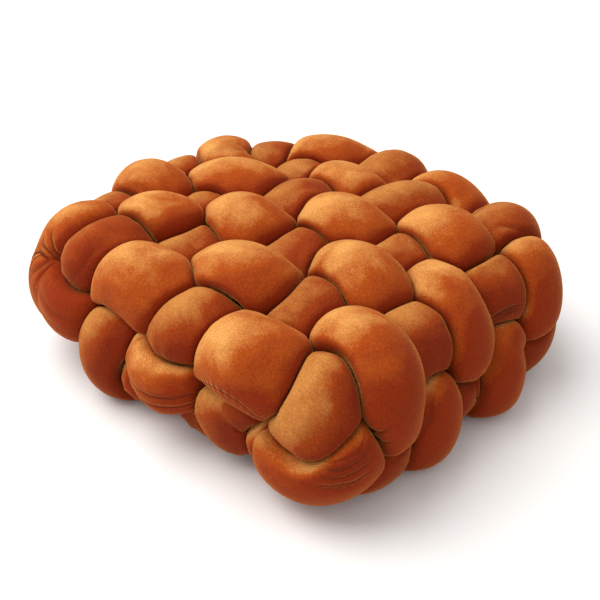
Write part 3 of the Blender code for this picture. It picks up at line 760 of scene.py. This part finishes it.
def velvet(name, deep, mid, light, seed):
    """Brushed stretch velvet: a short, dull pile with a warm bloom at its edges, over a fine knitted
    ground whose grain shows through it. Its colour holds painted light and shade: lighter and more
    orange on faces turned towards the soft box, a deep rust on faces turned away, and darker where
    it presses on its neighbours and along its creases."""
    material = bpy.data.materials.new(name)
    material.use_nodes = True
    tree = material.node_tree
    shader = tree.nodes["Principled BSDF"]
    place = add(tree, "TexCoord").outputs["Object"]
    cloth = add(tree, "UVMap", {"uv_map": "cloth"}).outputs["UV"]

    # Patches that a hand has brushed, about 60 mm across, and marks of about 14 mm in them.
    brushed = add(tree, "TexNoise", {"noise_dimensions": "4D", "W": seed, "Scale": 16.0, "Detail": 2.0,
                                     "Roughness": 0.5, "Distortion": 0.8}, Vector=place)
    marks = add(tree, "TexNoise", {"noise_dimensions": "4D", "W": seed + 3.0, "Scale": 70.0,
                                   "Detail": 3.0, "Roughness": 0.6, "Distortion": 0.4}, Vector=place)
    # Clumps of pile of about 2 mm, and tufts of 1 mm, drawn a little coarse so that they show.
    clumps = add(tree, "TexNoise", {"Scale": 420.0, "Detail": 2.0, "Roughness": 0.6}, Vector=place)
    tufts = add(tree, "TexNoise", {"Scale": 1100.0, "Detail": 1.0, "Roughness": 0.7}, Vector=place)
    both = add(tree, "Mix", {"data_type": "FLOAT", "Factor": 0.20}, i2=brushed.outputs["Fac"],
               i3=marks.outputs["Fac"])
    fine = add(tree, "Mix", {"data_type": "FLOAT", "Factor": 0.5}, i2=clumps.outputs["Fac"],
               i3=tufts.outputs["Fac"])
    nap = add(tree, "Mix", {"data_type": "FLOAT", "Factor": 0.16}, i2=both.outputs[0],
              i3=fine.outputs[0])
    # Painted light and shade: faces turned towards the soft box are painted lighter and more orange,
    # and faces turned away a deep rust. That value runs from -1 to 1, and the brushed patches shift
    # it a little either way.
    painted_light = add(tree, "Attribute", {"attribute_name": "painted_light"})
    lit_level = add(tree, "Math", {"operation": "MULTIPLY_ADD", 1: 0.60, 2: 0.12}, i0=painted_light.outputs["Fac"])
    uneven = add(tree, "Math", {"operation": "MULTIPLY_ADD", 1: 1.36, 2: -0.68}, i0=nap.outputs[0])
    level = add(tree, "Math", {"operation": "ADD"}, i0=lit_level.outputs[0], i1=uneven.outputs[0])
    ramp = add(tree, "ValToRGB", Fac=level.outputs[0])
    ramp.color_ramp.elements[0].position = 0.12
    ramp.color_ramp.elements[0].color = linear(deep)
    ramp.color_ramp.elements[1].position = 0.77
    ramp.color_ramp.elements[1].color = linear(light)
    ramp.color_ramp.elements.new(0.43).color = linear(mid)
    # Painted shade: where a tube presses on a neighbour, and in its folds, its colour is darkened to a
    # deep brown.
    shade_mask = add(tree, "Attribute", {"attribute_name": "painted_contact_shade"})
    shade = add(tree, "Mix", {"data_type": "RGBA", 7: linear("#4A1606")}, i6=ramp.outputs["Color"])
    tree.links.new(shade_mask.outputs["Fac"], shade.inputs["Factor"])

    # The knit's ribs run along the tube and its stitches across, drawn 2 mm apart, twice too coarse.
    split = add(tree, "SeparateXYZ", i0=cloth)
    ribs = add(tree, "Math", {"operation": "MULTIPLY", 1: 2.0 * math.pi * RIBS}, i0=split.outputs["Y"])
    rib = add(tree, "Math", {"operation": "SINE"}, i0=ribs.outputs[0])
    courses = add(tree, "Math", {"operation": "MULTIPLY", 1: 2.0 * math.pi * COURSES},
                  i0=split.outputs["X"])
    course = add(tree, "Math", {"operation": "SINE"}, i0=courses.outputs[0])
    knit = add(tree, "Math", {"operation": "MULTIPLY"}, i0=rib.outputs[0], i1=course.outputs[0])
    grain = add(tree, "Math", {"operation": "MULTIPLY_ADD", 1: 0.15}, i0=knit.outputs[0],
                i2=fine.outputs[0])
    tone = add(tree, "MapRange", {"From Min": 0.3, "From Max": 0.7, "To Min": 0.72, "To Max": 1.22},
               Value=grain.outputs[0])
    grained = add(tree, "Mix", {"data_type": "RGBA", "blend_type": "MULTIPLY", "Factor": 1.0},
                  i6=shade.outputs[2], i7=tone.outputs[0])

    # Sharp creases, in fans beside each other and a little uneven: one at each whole number of "fan".
    # Each is a bump, and painted shade darkens its line.
    fan = add(tree, "Attribute", {"attribute_name": "fan"})
    wander = add(tree, "TexNoise", {"Scale": 45.0, "Detail": 1.0}, Vector=place)
    wandered = add(tree, "Math", {"operation": "MULTIPLY_ADD", 1: 0.9}, i0=wander.outputs["Fac"],
                   i2=fan.outputs["Fac"])
    turned = add(tree, "Math", {"operation": "MULTIPLY_ADD", 1: 2.0 * math.pi, 2: -0.9 * math.pi},
                 i0=wandered.outputs[0])
    crest = add(tree, "Math", {"operation": "COSINE"}, i0=turned.outputs[0])
    lifted = add(tree, "Math", {"operation": "MULTIPLY_ADD", 1: 0.5, 2: 0.5}, i0=crest.outputs[0])
    line = add(tree, "Math", {"operation": "POWER", 1: 6.0}, i0=lifted.outputs[0])
    sharp = add(tree, "Attribute", {"attribute_name": "fan_sharp"})
    crease = add(tree, "Math", {"operation": "MULTIPLY"}, i0=line.outputs[0], i1=sharp.outputs["Fac"])
    crease_shade = add(tree, "Math", {"operation": "MULTIPLY", 1: 0.6}, i0=crease.outputs[0])
    crease_shaded_cloth = add(tree, "Mix", {"data_type": "RGBA", 7: linear("#5A1C06")}, i6=grained.outputs[2])
    tree.links.new(crease_shade.outputs[0], crease_shaded_cloth.inputs["Factor"])

    # The long seam: a narrow groove with the thread's darker line in it, and puckers about 5 mm apart.
    seam = add(tree, "Attribute", {"attribute_name": "seam"})
    off = add(tree, "Math", {"operation": "ABSOLUTE"}, i0=seam.outputs["Fac"])
    groove = add(tree, "MapRange", {"interpolation_type": "SMOOTHSTEP", "From Min": 0.0,
                                    "From Max": 0.007, "To Min": 0.6, "To Max": 0.0},
                 Value=off.outputs[0])
    around = add(tree, "MapRange", {"interpolation_type": "SMOOTHSTEP", "From Min": 0.002,
                                    "From Max": 0.030, "To Min": 1.0, "To Max": 0.0},
                 Value=off.outputs[0])
    gathers = add(tree, "Math", {"operation": "MULTIPLY", 1: 2.0 * math.pi * GATHERS},
                  i0=split.outputs["X"])
    gather = add(tree, "Math", {"operation": "SINE"}, i0=gathers.outputs[0])
    pucker = add(tree, "Math", {"operation": "MULTIPLY"}, i0=gather.outputs[0], i1=around.outputs[0])
    sewn = add(tree, "Mix", {"data_type": "RGBA", 7: linear("#4E1A06")}, i6=crease_shaded_cloth.outputs[2])
    tree.links.new(groove.outputs[0], sewn.inputs["Factor"])
    tree.links.new(sewn.outputs[2], shader.inputs["Base Color"])
    deep_groove = add(tree, "Math", {"operation": "MULTIPLY", 1: -1.6}, i0=groove.outputs[0])
    sunk = add(tree, "Math", {"operation": "MULTIPLY_ADD", 1: -2.4}, i0=crease.outputs[0],
               i2=deep_groove.outputs[0])
    raised = add(tree, "Math", {"operation": "MULTIPLY_ADD", 1: 0.5}, i0=pucker.outputs[0],
                 i2=sunk.outputs[0])
    height = add(tree, "Math", {"operation": "MULTIPLY_ADD", 1: 0.6}, i0=grain.outputs[0],
                 i2=raised.outputs[0])
    bump = add(tree, "Bump", {"Strength": 0.7, "Distance": 0.0012}, Height=height.outputs[0])
    tree.links.new(bump.outputs["Normal"], shader.inputs["Normal"])

    # The pile scatters light: hardly any gloss, and a warm, soft sheen where it is seen from the side.
    shader.inputs["Roughness"].default_value = 0.95
    shader.inputs["Specular IOR Level"].default_value = 0.15
    shader.inputs["Sheen Weight"].default_value = 0.60
    shader.inputs["Sheen Roughness"].default_value = 0.31
    shader.inputs["Sheen Tint"].default_value = linear("#FFAE58")
    return material


# The tubes along Y get a darker copy of the same velvet: painted shade for the light that falls against
# their pile.
velvets = {
    "x": velvet("velvet_lit_copy_along_x", "#882A06", "#A64810", "#D6954E", 1.0),
    "y": velvet("velvet_shaded_copy_along_y", "#7C2405", "#94390B", "#BC7A3A", 7.0),
}

for name, points in skins.items():
    points = points - np.array([FOOTPRINT[0], FOOTPRINT[1], 0.0])
    tube = skin(name, points, painted_contact_shade[name], fans[name], SEAMS.get(name, HIDDEN_SEAM),
                velvets[direction(name)])
    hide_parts(name)
    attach(tube, "root")


# --- The studio -----------------------------------------------------------------------------------
# A plain pale floor, one large soft light that hangs high on the camera's left, and a pale room that
# fills the shadows. The camera stands off the +X, -Y corner, as the photograph's did.


def plain(name, colour):
    """A matt paint with nothing on it."""
    paint = bpy.data.materials.new(name)
    paint.use_nodes = True
    paint.node_tree.nodes["Principled BSDF"].inputs["Base Color"].default_value = linear(colour)
    paint.node_tree.nodes["Principled BSDF"].inputs["Roughness"].default_value = 1.0
    paint.node_tree.nodes["Principled BSDF"].inputs["Specular IOR Level"].default_value = 0.0
    return paint


bpy.ops.object.select_all(action="DESELECT")
bpy.ops.mesh.primitive_plane_add(size=40.0, location=(0.0, 0.0, -0.0004))     # just under the base
studio_floor = bpy.context.object
studio_floor.name = "studio_floor"
studio_floor.data.materials.append(plain("floor_paint", "#F4F3F1"))

TURN = math.radians(44.4)     # the camera's way round the cushion
RISE = math.radians(35.1)     # and its height, as an angle
CAMERA_AIM = np.array([1.37, -1.43, 2.0])     # what the camera looks at, in pitches
CAMERA_AWAY = 12.26           # how far off it stands, in pitches
LAMP_RIGHT = -1.9             # metres that the light hangs to the camera's right
LAMP_NEARER = -0.5            # and nearer the camera than the cushion's middle
LAMP_HEIGHT = 3.4
to_camera = np.array([math.sin(TURN) * math.cos(RISE), -math.cos(TURN) * math.cos(RISE),
                      math.sin(RISE)])
rightwards = np.array([math.cos(TURN), math.sin(TURN), 0.0])


def soft_light(name, place, aim, size, power, colour):
    """A square soft box that faces a point."""
    lamp = bpy.data.lights.new(name, "AREA")
    lamp.shape = "SQUARE"
    lamp.size = size
    lamp.energy = power
    lamp.color = linear(colour)[:3]
    box = bpy.data.objects.new(name, lamp)
    box.location = place
    facing = mathutils.Vector(place) - mathutils.Vector(aim)
    box.rotation_euler = facing.to_track_quat("Z", "Y").to_euler()
    bpy.context.collection.objects.link(box)


nearer = np.array([to_camera[0], to_camera[1], 0.0]) / math.cos(RISE)
hung = LAMP_RIGHT * rightwards + LAMP_NEARER * nearer + np.array([0.0, 0.0, LAMP_HEIGHT])
soft_light("soft_box", tuple(hung), aim=(0.0, 0.0, 0.1), size=3.8, power=172.0, colour="#FFFEFC")
pale_room = bpy.data.worlds.new("pale_room")
pale_room.use_nodes = True
pale_room.node_tree.nodes["Background"].inputs["Color"].default_value = linear("#FFFFFF")
pale_room.node_tree.nodes["Background"].inputs["Strength"].default_value = 0.70
bpy.context.scene.world = pale_room
bpy.context.scene.view_settings.view_transform = "Standard"

lens = bpy.data.cameras.new("camera")
lens.sensor_width = 36.0
lens.lens = 58.0
camera = bpy.data.objects.new("camera", lens)
standing = (CAMERA_AIM + CAMERA_AWAY * to_camera) * PITCH
camera.location = tuple(standing - np.array([FOOTPRINT[0], FOOTPRINT[1], 0.0]))
camera.rotation_euler = mathutils.Vector(to_camera).to_track_quat("Z", "Y").to_euler()
bpy.context.collection.objects.link(camera)
bpy.context.scene.camera = camera
